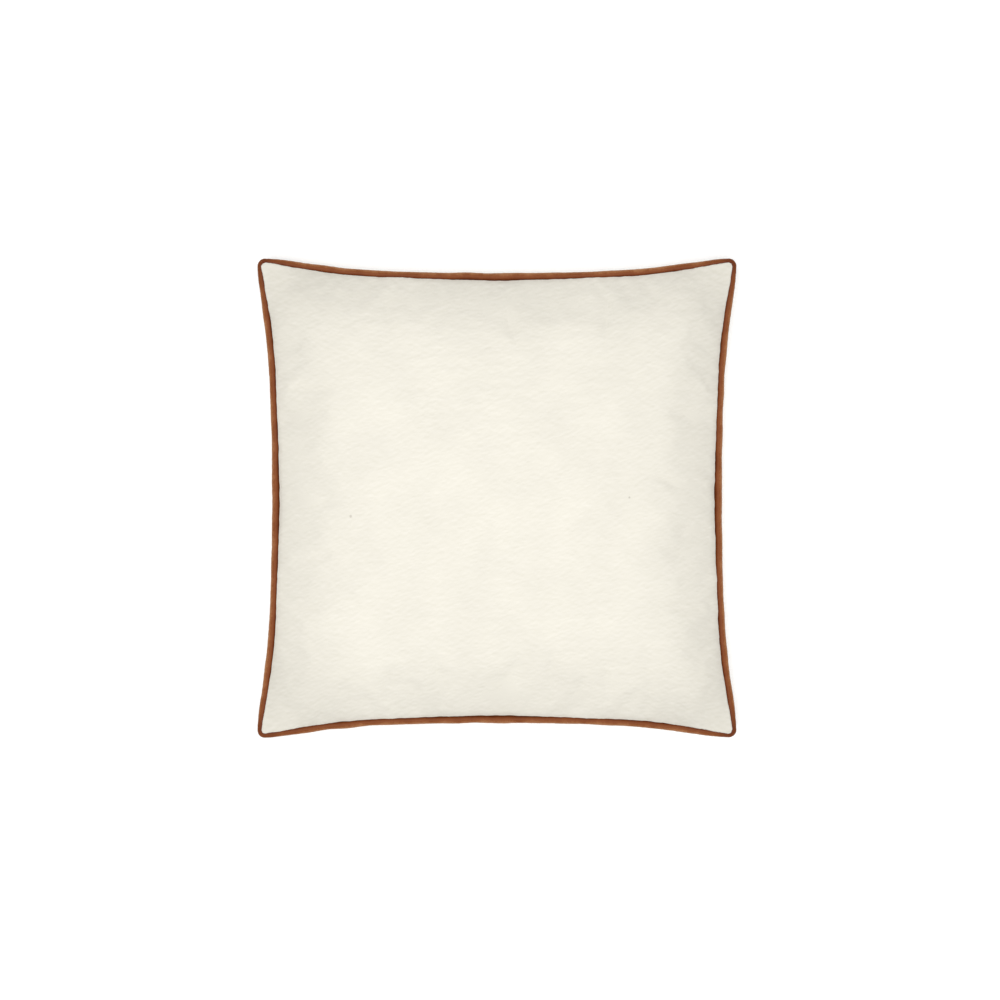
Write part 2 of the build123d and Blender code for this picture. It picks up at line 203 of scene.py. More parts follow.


# %% [markdown]
# ## Crinkled cotton and linen cloth
# The cover is woven from thick and thin ivory yarns, then washed so that it shrinks into short wavy ribs. To
# the eye that is a matt surface with a soft halo, faint grey-green hollows between the ribs and paler tops; the
# colour of the hollows is painted shade. The ribs stand about 6 mm apart, and the mesh itself carries them. A
# mark on each point says how high the rib is there, so the painted shade can follow it, and another says how
# near a corner is, where painted shade greys the cloth. The yarns themselves, about 0.7 mm thick, are finer
# than the mesh and are bump.

# %% Cloth material
def woven_cloth(name, hollow_painted_shade, top, ply=0.7, neps=()):
    material, tree, shader = start_material(name)
    flat = add(tree, "ShaderNodeUVMap", uv_map="cloth").outputs["UV"]
    rib = add(tree, "ShaderNodeAttribute", attribute_name="rib").outputs["Fac"]
    slub = add(tree, "ShaderNodeMapping", {"Vector": flat, "Scale": (per_mm(6.0), per_mm(2.6), 1)})
    slubs = add(tree, "ShaderNodeTexNoise", {"Vector": slub.outputs[0], "Scale": 1.0, "Detail": 4.0,
                                            "Roughness": 0.62, "Distortion": 0.8})
    yarn = add(tree, "ShaderNodeTexNoise", {"Vector": flat, "Scale": per_mm(ply), "Detail": 2.0})
    cloud = add(tree, "ShaderNodeTexNoise", {"Vector": flat, "Scale": per_mm(60), "Detail": 2.0})
    # Painted shade: the colour follows the rib mark and is darker in the hollows between the ribs.
    height = add(tree, "ShaderNodeMath", {0: slubs.outputs["Fac"], 1: 0.4, 2: rib}, operation="MULTIPLY_ADD")
    shade = add(tree, "ShaderNodeMapRange", {"Value": height.outputs[0], "From Min": 0.15, "From Max": 1.25})
    colour = add(tree, "ShaderNodeMix", {0: shade.outputs[0], 6: linear(hollow_painted_shade), 7: linear(top)},
                 data_type="RGBA")
    tint = add(tree, "ShaderNodeMapRange", {"Value": cloud.outputs["Fac"], "From Min": 0.3, "From Max": 0.7,
                                           "To Min": 0.97, "To Max": 1.02})
    # Painted shade: the cloth's colour is darkened by up to 11 % towards the corners, by the mark corner.
    corner_painted_shade = add(tree, "ShaderNodeAttribute", attribute_name="corner").outputs["Fac"]
    tint = add(tree, "ShaderNodeMath", {0: corner_painted_shade, 1: -0.11, 2: tint.outputs[0]}, operation="MULTIPLY_ADD")
    colour = add(tree, "ShaderNodeVectorMath", {0: colour.outputs[2], "Scale": tint.outputs[0]},
                 operation="SCALE").outputs[0]
    for x, y, size in neps:
        gap = add(tree, "ShaderNodeVectorMath", {0: flat, 1: (x * MM, y * MM, 0)}, operation="DISTANCE")
        near = add(tree, "ShaderNodeMapRange", {"Value": gap.outputs["Value"], "From Min": size * MM,
                                               "From Max": 0.45 * size * MM, "To Max": 0.3})
        colour = add(tree, "ShaderNodeMix", {0: near.outputs[0], 6: colour, 7: linear("#6F6455")},
                     data_type="RGBA").outputs[2]
    tree.links.new(colour, shader.inputs["Base Color"])
    relief = add(tree, "ShaderNodeBump", {"Height": yarn.outputs["Fac"], "Distance": 0.12 * MM,
                                         "Strength": 0.7})
    relief = add(tree, "ShaderNodeBump", {"Height": slubs.outputs["Fac"], "Distance": 0.3 * MM,
                                         "Strength": 0.6, "Normal": relief.outputs[0]})
    tree.links.new(relief.outputs[0], shader.inputs["Normal"])
    shader.inputs["Roughness"].default_value = 0.92
    shader.inputs["Specular IOR Level"].default_value = 0.25
    shader.inputs["Sheen Weight"].default_value = 0.12
    shader.inputs["Sheen Roughness"].default_value = 0.5
    return material


neps = [(-179, -22, 2.2), (162, 0.5, 1.7)]  # two specks of darker fibre spun into the yarn
ivory_cloth = woven_cloth("washed_cotton_linen", "#E0DCCF", "#EAE6DB", neps=neps)
plain_ivory_cloth = woven_cloth("washed_cotton_linen_back", "#E0DCCF", "#EAE6DB")
print("materials:", [m.name for m in bpy.data.materials])

# %% [markdown]
# ## Vegetable-tanned leather
# The piping is tan leather, drum dyed and lightly waxed. It has a fine pebble grain and a soft sheen where
# the light meets the round of the bead. Its outer side carries painted light, a paler tan, and its inner side
# beside the seam and the tight corners carry painted shade, a darker red-brown. The mesh carries a mark for
# that painted light and shade, and noise makes the dye uneven.

# %% Leather material
def waxed_leather(name, deep, body, outer_painted_light):
    material, tree, shader = start_material(name)
    spot = add(tree, "ShaderNodeTexCoord").outputs["Object"]
    painted_shade_share = add(tree, "ShaderNodeAttribute", attribute_name="painted_shade_share").outputs["Fac"]
    dye = add(tree, "ShaderNodeTexNoise", {"Vector": spot, "Scale": per_mm(14), "Detail": 4.0,
                                          "Roughness": 0.6})
    grain = add(tree, "ShaderNodeTexVoronoi", {"Vector": spot, "Scale": per_mm(1.1)}, feature="SMOOTH_F1")
    pores = add(tree, "ShaderNodeTexNoise", {"Vector": spot, "Scale": per_mm(0.5), "Detail": 2.0})
    uneven = add(tree, "ShaderNodeMapRange", {"Value": dye.outputs["Fac"], "From Min": 0.3, "From Max": 0.7,
                                             "To Min": -0.16, "To Max": 0.16})
    depth = add(tree, "ShaderNodeMath", {0: painted_shade_share, 1: uneven.outputs[0]}, operation="ADD")
    depth = add(tree, "ShaderNodeMath", {0: grain.outputs["Distance"], 1: 0.25, 2: depth.outputs[0]},
                operation="MULTIPLY_ADD")
    depth = add(tree, "ShaderNodeMath", {0: depth.outputs[0], 1: 0.1}, operation="SUBTRACT")
    # The ramp paints light on the outer side of the bead and shade on its inner side and in the corners.
    ramp = add(tree, "ShaderNodeValToRGB", {"Fac": depth.outputs[0]})
    stops = ramp.color_ramp.elements
    stops[0].position, stops[0].color = 0.0, linear(outer_painted_light)
    stops[1].position, stops[1].color = 1.0, linear(deep)
    middle = stops.new(0.42)
    middle.color = linear(body)
    tree.links.new(ramp.outputs["Color"], shader.inputs["Base Color"])
    gloss = add(tree, "ShaderNodeMapRange", {"Value": pores.outputs["Fac"], "To Min": 0.48, "To Max": 0.68})
    tree.links.new(gloss.outputs[0], shader.inputs["Roughness"])
    relief = add(tree, "ShaderNodeBump", {"Height": grain.outputs["Distance"], "Distance": 0.2 * MM,
                                         "Strength": 0.6})
    relief = add(tree, "ShaderNodeBump", {"Height": pores.outputs["Fac"], "Distance": 0.05 * MM,
                                         "Strength": 0.4, "Normal": relief.outputs[0]})
    tree.links.new(relief.outputs[0], shader.inputs["Normal"])
    shader.inputs["Specular IOR Level"].default_value = 0.16
    return material


# The first colour is painted shade for the inner side, the last is painted light for the outer side.
tan_leather = waxed_leather("waxed_tan_leather", "#642E12", "#7F4520", "#A9764F")


# %% [markdown]
# ## Cloth panels
# A panel is one closed skin. Its outside is a fine grid, with close rows across the ribs so that they are
# real relief. At the seam the cloth rolls over, tucks in beside the piping, and runs back inside as the seam
# allowance. Its inside is a coarse grid, joined to the fine one by wide faces. Near the corners the filling
# can't pull the cloth tight, so its rolled edge bulges over the piping and hides part of it.

# %% Where the rolled edge lies
def reveal(along, seed):
    """Distance of the cloth's rolled edge inside the piping's centre line, along a side of the pillow."""
    to_corner = corner(seam)[0] - np.abs(along)
    steady = 0.7 + 3.0 * (1 - np.exp(-np.maximum(to_corner - 4, 0) / 27))
    slack = -0.75 * np.exp(-((np.abs(along) - 100) / 34) ** 2)
    middle = 0.8 * np.exp(-(along / 30) ** 2)
    tuck = 1.15 * np.exp(-(to_corner / 2.4) ** 2)
    slow = 0.2 * waves(along, 0 * along, seed, 10, 26.0, 0)
    quick = 0.1 * waves(along, 0 * along, seed + 1, 10, 9.0, 0)
    return steady + slack + middle + tuck + slow + quick


def edge_insets(u, v, seed):
    """The rolled edge's inset for the left or right side and for the top or bottom side."""
    reach_x, reach_y = corner(seam)
    across = np.where(u > 0, reveal(v * reach_y, seed), reveal(v * reach_y, seed + 10))
    down = np.where(v > 0, reveal(u * reach_x, seed + 20), reveal(u * reach_x, seed + 30))
    return across, down


def bead_top(s):
    """Height of the piping's skin above the seam plane, at s inwards from its centre line."""
    return np.sqrt(np.maximum(bead**2 - s**2, 0))


def roll_profile(edge):
    """Rolled edge of the cloth as rings of (inset, height), from its face down to the seam line."""
    under_s = edge + 0.15
    under_z = np.maximum(2.6, bead_top(under_s) + 0.35)
    tuck_s = np.minimum(edge + 0.9, 4.5)
    tuck_z = np.minimum(np.maximum(1.6, bead_top(tuck_s) + 0.3), under_z - 0.2)
    lift = 0.62 + 0.18 * (under_z - 2.6) / 1.6
    same = 0 * edge
    return [(edge + 0.9, under_z + 2.9 * lift), (edge + 0.32, under_z + 2.3 * lift),
            (edge, under_z + 1.2 * lift), (under_s, under_z), (tuck_s, tuck_z),
            (4.45 + same, 1.35 + same), (4.9 + same, 1.2 + same)]


print("edge of the cloth at a corner and mid-side:", reveal(np.array([half_x - 20, 0.0]), 1).round(2), "mm")


# %% [markdown]
# The same function makes the cover and the plain insert inside it. It gets the grid's outside, the rings of
# the rolled edge and the allowance, and the grid's inside.

# %% Joining grids and rings
def spread(count, crowd):
    """Places from -1 to 1, closer together towards both ends."""
    t = np.linspace(-1, 1, count + 1)
    return (1 - crowd) * t + crowd * np.sin(np.pi * t / 2)


def grid_places(nx, ny):
    """Columns and rows of a grid; the columns crowd more towards the sides than the rows do."""
    return spread(nx, 0.6), spread(ny, 0.3)


def grid_uv(nx, ny):
    """The cloth's coordinates u and v of a grid's points."""
    return np.meshgrid(*grid_places(nx, ny))


def grid_faces(nx, ny, first):
    """Quads of a grid of points, row by row, anticlockwise as seen from the front."""
    j, i = np.meshgrid(np.arange(ny), np.arange(nx), indexing="ij")
    a = first + j * (nx + 1) + i
    return np.stack([a, a + 1, a + nx + 2, a + nx + 1], -1).reshape(-1, 4)


def grid_edge(nx, ny, first):
    """Points on the edge of a grid, anticlockwise from its lower left corner."""
    i, j = np.arange(nx), np.arange(ny)
    row = nx + 1
    return first + np.concatenate([i, nx + j * row, ny * row + nx - i, (ny - j) * row])


def strip_faces(a, b):
    """Quads from one ring of points to the next one outwards."""
    return np.stack([a, b, np.roll(b, -1), np.roll(a, -1)], -1)


def join_skin(outside, rings, inside, nx, ny, coarse, side):
    """Points and faces of a closed skin: a fine grid, rings round its edge, and a coarse grid inside."""
    points = [outside, *rings, inside]
    starts = np.cumsum([0] + [len(p) for p in points])
    faces = grid_faces(nx, ny, 0).tolist()
    ring = grid_edge(nx, ny, 0)
    for start in starts[1:-2]:
        following = np.arange(start, start + len(ring))
        faces += strip_faces(ring, following).tolist()
        ring = following
    inner = grid_edge(coarse, coarse, starts[-2])
    step = [nx // coarse] * coarse + [ny // coarse] * coarse
    at = 0
    for k, wide in enumerate(step + step):
        fine = [int(ring[(at + m) % len(ring)]) for m in range(wide, -1, -1)]
        faces.append([fine[-1], int(inner[k]), int(inner[(k + 1) % len(inner)]), *fine[:-1]])
        at += wide
    faces += grid_faces(coarse, coarse, starts[-2])[:, ::-1].tolist()
    if side < 0:
        faces = [face[::-1] for face in faces]
    return np.concatenate(points), faces


def edge_uv(nx, ny):
    """The cloth's coordinates of the points round a grid's edge, in the order of grid_edge."""
    u, v = grid_places(nx, ny)
    around_u = np.concatenate([u[:-1], np.ones(ny), u[:0:-1], -np.ones(ny)])
    around_v = np.concatenate([-np.ones(nx), v[:-1], np.ones(nx), v[:0:-1]])
    return around_u, around_v


print("helpers ready")


# %% [markdown]
# ## Letting the cloth swell
# Real cloth finds its own shape over the filling. A light closed bag of the same outline, held at its seam,
# is blown up for 20 frames with gravity off. Only how far each point moved is kept, capped at a few
# millimetres, and it is laid over the fine grid with smooth curves between the bag's points.

# %% Cloth simulation
def swell(cells, cap):
    """How far the cloth moves, in millimetres: one grid for the front and one for the back."""
    u, v = np.meshgrid(np.linspace(-1, 1, cells + 1), np.linspace(-1, 1, cells + 1))
    x, y = place(u, v, seam, seam)
    face = [np.stack([x, y, side * (0.97 * height * crown(u) * crown(v))], -1).reshape(-1, 3)
            for side, height in ((1, front_top), (-1, back_top))]
    edge = grid_edge(cells, cells, 0)
    size = len(face[0])
    renamed = np.arange(size, 2 * size)
    renamed[edge] = edge
    faces = grid_faces(cells, cells, 0).tolist() + renamed[grid_faces(cells, cells, 0)[:, ::-1]].tolist()
    mesh = bpy.data.meshes.new("blown_bag")
    mesh.from_pydata((np.concatenate(face) * MM).tolist(), [], faces)
    bag = bpy.data.objects.new("blown_bag", mesh)
    bpy.context.scene.collection.objects.link(bag)
    held = bag.vertex_groups.new(name="seam")
    held.add(edge.tolist() + (size + edge).tolist(), 1.0, "REPLACE")
    settings = bag.modifiers.new("Cloth", "CLOTH").settings
    settings.quality = 6
    settings.mass = 0.3
    settings.tension_stiffness = settings.compression_stiffness = 12
    settings.shear_stiffness = 4
    settings.bending_stiffness = 0.8
    settings.shrink_min = -0.02  # the panels are cut a little large, so that they pucker at the seam
    settings.use_pressure = True
    settings.uniform_pressure_force = 4
    settings.effector_weights.gravity = 0
    settings.vertex_group_mass = "seam"
    scene = bpy.context.scene
    scene.frame_start, scene.frame_end = 1, 20
    for number in range(1, 21):
        scene.frame_set(number)
    shape = bag.evaluated_get(bpy.context.evaluated_depsgraph_get()).to_mesh()
    moved = np.zeros(len(shape.vertices) * 3, np.float32)
    shape.vertices.foreach_get("co", moved)
    moved = moved.reshape(-1, 3) / MM - np.concatenate(face)
    scene.frame_set(1)
    bpy.data.objects.remove(bag)
    result = []
    for part in (moved[:size], moved[size:]):
        part[edge] = 0
        length = np.linalg.norm(part, axis=1, keepdims=True)
        print("cloth moved up to", round(float(length.max()), 1), "mm, mean", round(float(length.mean()), 2))
        part = part * (cap * np.tanh(length / cap) / np.maximum(length, 1e-6))
        result.append(part.reshape(cells + 1, cells + 1, 3))
    return result


def smooth_weights(fine, cells):
    """Matrix of Catmull-Rom weights that carries a row of cells + 1 values to fine places from -1 to 1."""
    at = (fine + 1) / 2 * cells
    first = np.clip(np.floor(at).astype(int), 0, cells - 1)
    t = at - first
    shares = [-0.5 * t + t**2 - 0.5 * t**3, 1 - 2.5 * t**2 + 1.5 * t**3, 0.5 * t + 2 * t**2 - 1.5 * t**3,
              0.5 * t**3 - 0.5 * t**2]
    weights = np.zeros((len(fine), cells + 1))
    for offset, share in zip((-1, 0, 1, 2), shares):
        np.add.at(weights, (np.arange(len(fine)), np.clip(first + offset, 0, cells)), share)
    return weights


bag_cells = 76
moved_front, moved_back = swell(bag_cells, 3.0)


# %% [markdown]
# ## Relief of the cloth
# Washing leaves short ribs about 6 mm apart, which run level from side to side. The back's bottom side is
# folded in as a hem below the seam, and a few functions say where that opening is and how the cloth is drawn
# back to it.

# %% Ribs and opening
rim_power = 34  # how closely the change to the rolled edge keeps to the edge of the face
flat_half = 272.0  # half of the cloth's own width, measured over the crown
slot_half = 159.0  # half of the opening for the zip, in the bottom side of the back panel
hem_depth = 10.0  # the cloth folds in here, below the seam plane, to make the opening's hem


def level_ridges(flat_x, flat_y, seed, length, pitch, spread, ridges=60):
    """Level ridges, about -1 to 1 high, that fade in and out along their length."""
    rng = np.random.default_rng(seed)
    total = 0 * flat_x
    for _ in range(ridges):
        fade = np.cos(2 * np.pi * (rng.normal() / length * flat_x + rng.random()))
        ridge = np.sin(2 * np.pi * ((1 + spread * rng.normal()) / pitch * flat_y + rng.random()))
        total = total + fade * ridge
    return total * math.sqrt(2 / ridges)


def ribs(flat_x, flat_y, seed):
    """Height of the washed ribs, about -1 to 1: short wavy ridges a few millimetres apart."""
    bend = 0.3 * waves(flat_x, flat_y, seed, 14, 34.0, 60.0, 1.0)
    fine = level_ridges(flat_x, flat_y + bend, seed + 1, 14.0, 5.6, 0.35)
    broad = level_ridges(flat_x, flat_y + bend, seed + 2, 24.0, 11.0, 0.5)
    return 0.85 * fine + 0.3 * broad


def crinkle(flat_x, flat_y, seed):
    """Slow unevenness left by washing, about -1 to 1."""
    return waves(flat_x, flat_y, seed, 26, 60.0, 34.0, 1.2)


def slot_share(u, v):
    """1 in the bottom side along the zip's opening, 0 beyond its ends and on the other sides."""
    past = (np.abs(u) * corner(seam)[0] - slot_half) / 4.5
    t = np.clip(past, 0, 1)
    return (1 - t * t * (3 - 2 * t)) * (v < 0)


def depth_place(u, depth, base, height):
    """The coordinate v, near the bottom side, where a crown has a given depth."""
    target = (depth - base) / (height - base) / crown(u)
    v = np.full(np.shape(u), 0.97)
    for _ in range(12):
        v = v - (crown(v) - target) / (-v - 4 * v**7)
    return v


def draw_back(u, v, depth, base, height):
    """Rows near the bottom side, drawn back from the seam as far as the opening's hem."""
    pull = np.clip((-v - 0.82) / 0.18, 0, 1)
    safe = np.clip(u, -0.75, 0.75)
    return v + pull * (1 - depth_place(safe, depth, base, height)) * slot_share(u, v)


def off_the_edge(u, v, power):
    """1 over most of a face and 0 at its edge; a higher power keeps the fall closer to the edge."""
    return (1 - np.abs(u) ** power) * (1 - np.abs(v) ** power)


def on_floor(depth, floor):
    """A depth eased off to the flat patch where the floor holds the cloth up."""
    eased = (depth + floor - np.sqrt((depth - floor) ** 2 + 9)) / 2
    return np.minimum(eased * floor / (floor - 0.25), floor)


# %% [markdown]
# ## Both panels of the cover
# The front is what everyone sees: a smooth crown, thickest in the middle, with the washed ribs running from
# side to side. The back is the same cloth, pressed flat where it lies on the floor. In its bottom side the
# cloth folds in as a hem and leaves a slot for the zip.

# %% Panels
def cover_face(side, height, nx, ny, moved, seed):
    """Outside grid of a panel: points, rib heights, shares of a corner and cloth coordinates."""
    u, v = grid_uv(nx, ny)
    opening = slot_share(u, v) if side < 0 else 0 * u
    drawn = draw_back(u, v, hem_depth + cloth, rim, height) if side < 0 else v
    across, down = edge_insets(u, v, seed)
    near_x, near_y = np.abs(u) ** rim_power, np.abs(v) ** rim_power * (1 - opening)
    x, y = place(u, drawn, seam - (seam - across - 0.9) * near_x, seam - (seam - down - 0.9) * near_y)
    z = rim + (height - rim) * crown(u) * crown(drawn)
    edge_z = np.where(near_x > near_y, roll_profile(across)[0][1], roll_profile(down)[0][1])
    z = z + (edge_z - rim) * np.maximum(near_x, near_y)
    inside = off_the_edge(u, v, rim_power)
    shift = np.stack([smooth_weights(v[:, 0], bag_cells) @ moved[..., k] @ smooth_weights(u[0], bag_cells).T
                      for k in range(3)], -1)
    # at_corner eases the swell near the corners and is also the mark for the painted shade there.
    at_corner = np.clip((np.abs(u * v) - 0.4) / 0.4, 0, 1) ** 1.5
    shift = shift * (inside * (0.85 - 0.6 * at_corner))[..., None]
    x, y, z = x + shift[..., 0], y + shift[..., 1], z + side * shift[..., 2]
    flat_x, flat_y = u * flat_half, v * flat_half
    rib = ribs(flat_x, flat_y, seed)
    pucker = waves(np.where(near_x > near_y, v, u) * flat_half, 0 * u, seed + 5, 12, 16.0, 0)
    close = np.maximum(np.abs(u), np.abs(v)) ** 12 * inside
    relief = 0.108 * rib * (0.35 + 0.65 * inside) + 0.2 * crinkle(flat_x, flat_y, seed + 3) * inside
    relief = relief + 0.3 * pucker * close
    if side < 0:
        pressed = np.clip((z - rest_depth + 5) / 8, 0, 1)
        z = on_floor(z + relief * (1 - pressed), rest_depth)
    else:
        z = z + relief
    return np.stack([x, y, side * z], -1).reshape(-1, 3), rib.ravel(), at_corner.ravel(), u, v


def seam_rings(side, height, nx, ny, seed):
    """Rings from the rolled edge in to the end of the seam allowance and back under the face."""
    u, v = edge_uv(nx, ny)
    across, down = edge_insets(u, v, seed)
    opening = slot_share(u, v) * (np.abs(v) >= 1) if side < 0 else 0 * u
    on_side = np.abs(u) >= 1
    within = np.clip(u, -0.75, 0.75)
    fold = seam + (1 - depth_place(within, hem_depth + 0.7, rim, height)) * side_y(seam, u * half_x)
    flat_end = 18.7
    # (inset, height) of each ring along the opening: round the hem's fold, in under the lower tape, and back
    hem = [(fold, 10.65), (fold + 0.2, 10.25), (fold + 0.65, 10.04), (fold + 1.3, 10.0), (fold + 2.6, 10.0),
           (15.0, 10.0), (flat_end, 10.0), (flat_end, 11.2), (fold + 3.2, 11.2), (fold + 2.6, 11.5)]
    # and elsewhere: in to the end of the seam allowance, and back under the face
    tucked = [(16.2, 1.2), (16.2, 2.4), (6.6, 2.4), (6.2, 2.7)]
    rows = [(np.where(on_side, a[0], b[0]), np.where(on_side, a[1], b[1]))
            for a, b in zip(roll_profile(across)[1:], roll_profile(down)[1:])]
    rings = []
    for (s, z), (hem_s, hem_z) in zip(rows + tucked, hem):
        s, z = s + (hem_s - s) * opening, z + (hem_z - z) * opening
        x, y = place(u, v, s, s)
        rings.append(np.stack([x, y, side * z + 0 * u], -1))
    return rings


def lining(side, inward, base, height, cells, floor=None, hem=None):
    """The inside of a panel: a coarse crown, eased onto the floor and drawn back from the zip if need be."""
    u, v = grid_uv(cells, cells)
    drawn = draw_back(u, v, hem, base, height) if hem else v
    x, y = place(u, drawn, inward, inward)
    z = base + (height - base) * crown(u) * crown(drawn)
    if floor:
        z = on_floor(z, floor)
    return np.stack([x, y, side * z], -1).reshape(-1, 3), u, v


def flat_places(u, v, ring_count, nx, ny, lining_u, lining_v):
    """Flat cloth coordinates, in millimetres, of every point of a panel."""
    ring = np.stack(edge_uv(nx, ny), -1)
    rings = [ring * (1 + 0.006 * (k + 1)) for k in range(ring_count)]
    grids = [np.stack([a, b], -1).reshape(-1, 2) for a, b in ((u, v), (lining_u, lining_v))]
    return np.concatenate([grids[0], *rings, grids[1]]) * flat_half


def make_cover(name, node, side, height, moved, seed, material):
    """One panel of the cover, in place of its CAD node."""
    nx, ny, coarse = 232, 348, 58  # the fine grid's columns and rows are multiples of the coarse grid's
    face, rib, at_corner, u, v = cover_face(side, height, nx, ny, moved, seed)
    rings = seam_rings(side, height, nx, ny, seed)
    floor, hem = (rest_depth - cloth, 11.8) if side < 0 else (None, None)
    inside, lining_u, lining_v = lining(side, 6.2, 3.3, height - cloth, coarse, floor, hem)
    points, faces = join_skin(face, rings, inside, nx, ny, coarse, side)
    flat = flat_places(u, v, len(rings), nx, ny, lining_u, lining_v)
    rest = np.ones(len(points) - len(rib))
    # The mark corner carries the painted shade at the corners.
    marks = {"rib": np.concatenate([0.5 + 0.3 * rib, 0.5 * rest]),
             "corner": np.concatenate([at_corner, 0 * rest])}
    panel = make_piece(name, points, faces, material, flat=flat, marks=marks)
    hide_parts(node)


make_cover("cover_front", "front_panel", 1, front_top, moved_front, 100, ivory_cloth)
make_cover("cover_back", "back_panel", -1, back_top, moved_back, 200, plain_ivory_cloth)

# %% [markdown]
# ## Leather piping
# A long strip of leather is folded round a cotton cord and caught in the seam. We sweep a round section along
# the outline, with a tight bend at each corner, and let its radius and its line wander by a few tenths of a
# millimetre, as leather does over a soft cord. Small folds gather in the bends. The two ends lap over each
# other in the middle of the bottom side. Inside, the strip's flat part runs between the two panels.

# %% Path of the piping
bend = 4.3  # radius of the centre line at each corner


def piping_line(per_side, per_bend):
    """Centre line of the piping: points, outward directions and the distance to the nearest corner."""
    reach = half_y - bend
    t = np.linspace(-1, 1, per_side)
    side = np.stack([side_x(0, t * reach), t * reach], -1)
    slope = -side_inset * np.gradient(pull_in(t * reach / half_y), t * reach)
    out = np.stack([np.ones(per_side), -slope], -1)
    out /= np.linalg.norm(out, axis=1, keepdims=True)
    turn = np.linspace(0, np.pi / 2, per_bend + 2)[1:-1]
    around = np.stack([np.cos(turn), np.sin(turn)], -1)
    points = np.concatenate([side, np.array([half_x - bend, reach]) + bend * around])
    normals = np.concatenate([out, around])
    gap = np.concatenate([reach - np.abs(t * reach), np.zeros(per_bend)])
    quarter = np.array([[0, 1], [-1, 0]])  # a quarter turn to the left, for rows of points
    all_points, all_normals = [points], [normals]
    for _ in range(3):
        points, normals = points @ quarter, normals @ quarter
        all_points.append(points)
        all_normals.append(normals)
    return np.concatenate(all_points), np.concatenate(all_normals), np.tile(gap, 4)


def length_along(line):
    """Distance run along a closed line, at each of its points."""
    steps = np.linalg.norm(np.roll(line, -1, 0) - line, axis=1)
    return np.concatenate([[0], np.cumsum(steps)[:-1]]), float(steps.sum())


def ring_waves(run, total, seed, count, pitch):
    """Smooth seeded unevenness along a closed line, which meets itself."""
    rng = np.random.default_rng(seed)
    turns = np.maximum(1, np.round(total / pitch * (1 + 0.4 * rng.normal(size=count))))
    phases = 2 * np.pi * rng.random(count)
    return sum(np.sin(2 * np.pi * n * run / total + p) for n, p in zip(turns, phases)) / math.sqrt(count)


def tube_faces(rows, around, first=0, closed=True):
    """Quads of a tube of rows of points; the rows run along its length."""
    faces = []
    for row in range(rows if closed else rows - 1):
        a, b = first + row * around, first + (row + 1) % rows * around
        faces += [[a + k, a + (k + 1) % around, b + (k + 1) % around, b + k] for k in range(around)]
    return faces


line, outward, to_corner = piping_line(280, 14)
run, total = length_along(line)
print(f"the piping is {total / 1000:.2f} m long")

# %% Piping
around = 30
angle = np.linspace(0, 2 * np.pi, around, endpoint=False)
radius = bead - 0.1 + 0.12 * ring_waves(run, total, 7, 14, 46.0) + 0.06 * ring_waves(run, total, 8, 14, 12.0)
drift = 0.18 * ring_waves(run, total, 9, 12, 60.0)
in_bend = np.exp(-(to_corner / 4.0) ** 2)
fold = in_bend[:, None] * np.maximum(0, -np.cos(angle))[None, :] * np.sin(2 * np.pi * run / 2.6)[:, None]
lap = np.exp(-(((line[:, 0] - 6) / 7) ** 8)) * (line[:, 1] < 0)  # where the two ends lie over each other
skin = radius[:, None] + 0.22 * fold + 0.3 * lap[:, None]
skin = skin + 0.05 * waves(run[:, None], 4 * angle[None, :], 11, 30, 5.0, 7.0, 0.8)
centre = line + outward * drift[:, None]
bead_points = np.concatenate([
    centre[:, None, :] + outward[:, None, :] * (skin * np.cos(angle))[..., None],
    (skin * np.sin(angle))[..., None]], -1).reshape(-1, 3)
# Painted light and shade on the bead: 0 on its outer side, rising to 1 on its inner side beside the seam, and
# more towards the corners.
painted_shade_share = 0.5 - 0.5 * np.cos(angle)[None, :] + 0.5 * np.exp(-to_corner / 16)[:, None]
flange_points, flange_faces = [], []
for s, z in ((3.3, 0.95), (15.0, 0.95), (15.0, -0.95), (3.3, -0.95)):  # two layers of leather, laid flat
    u, v = edge_uv(80, 80)
    x, y = place(u, v, s, s)
    flange_points.append(np.stack([x, y, z + 0 * x], -1))
rows = [len(bead_points) + k * len(u) + np.arange(len(u)) for k in range(4)]
for k in range(4):
    flange_faces += strip_faces(rows[k], rows[(k + 1) % 4])[:, ::-1].tolist()
points = np.concatenate([bead_points, *flange_points])
marks = {"painted_shade_share": np.concatenate([painted_shade_share.ravel(), np.full(4 * len(u), 0.8)])}
piping = make_piece("leather_piping", points, tube_faces(len(line), around) + flange_faces, tan_leather,
                    marks=marks)
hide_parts("piping_sleeve")

# %% [markdown]
# ## Cotton, thread, tape and filling
# The rest is seen at the zip or through a cutaway. Cotton cord and sewing thread are twisted from fine plies,
# tape and label are woven flat with a fine twill, and the insert is plain calico stuffed with polyester
# fibre. Each of these is one pattern, a stripe or a cloud at its real pitch, on a matt surface, so one
# function covers them and each finish passes its own colours and sizes.

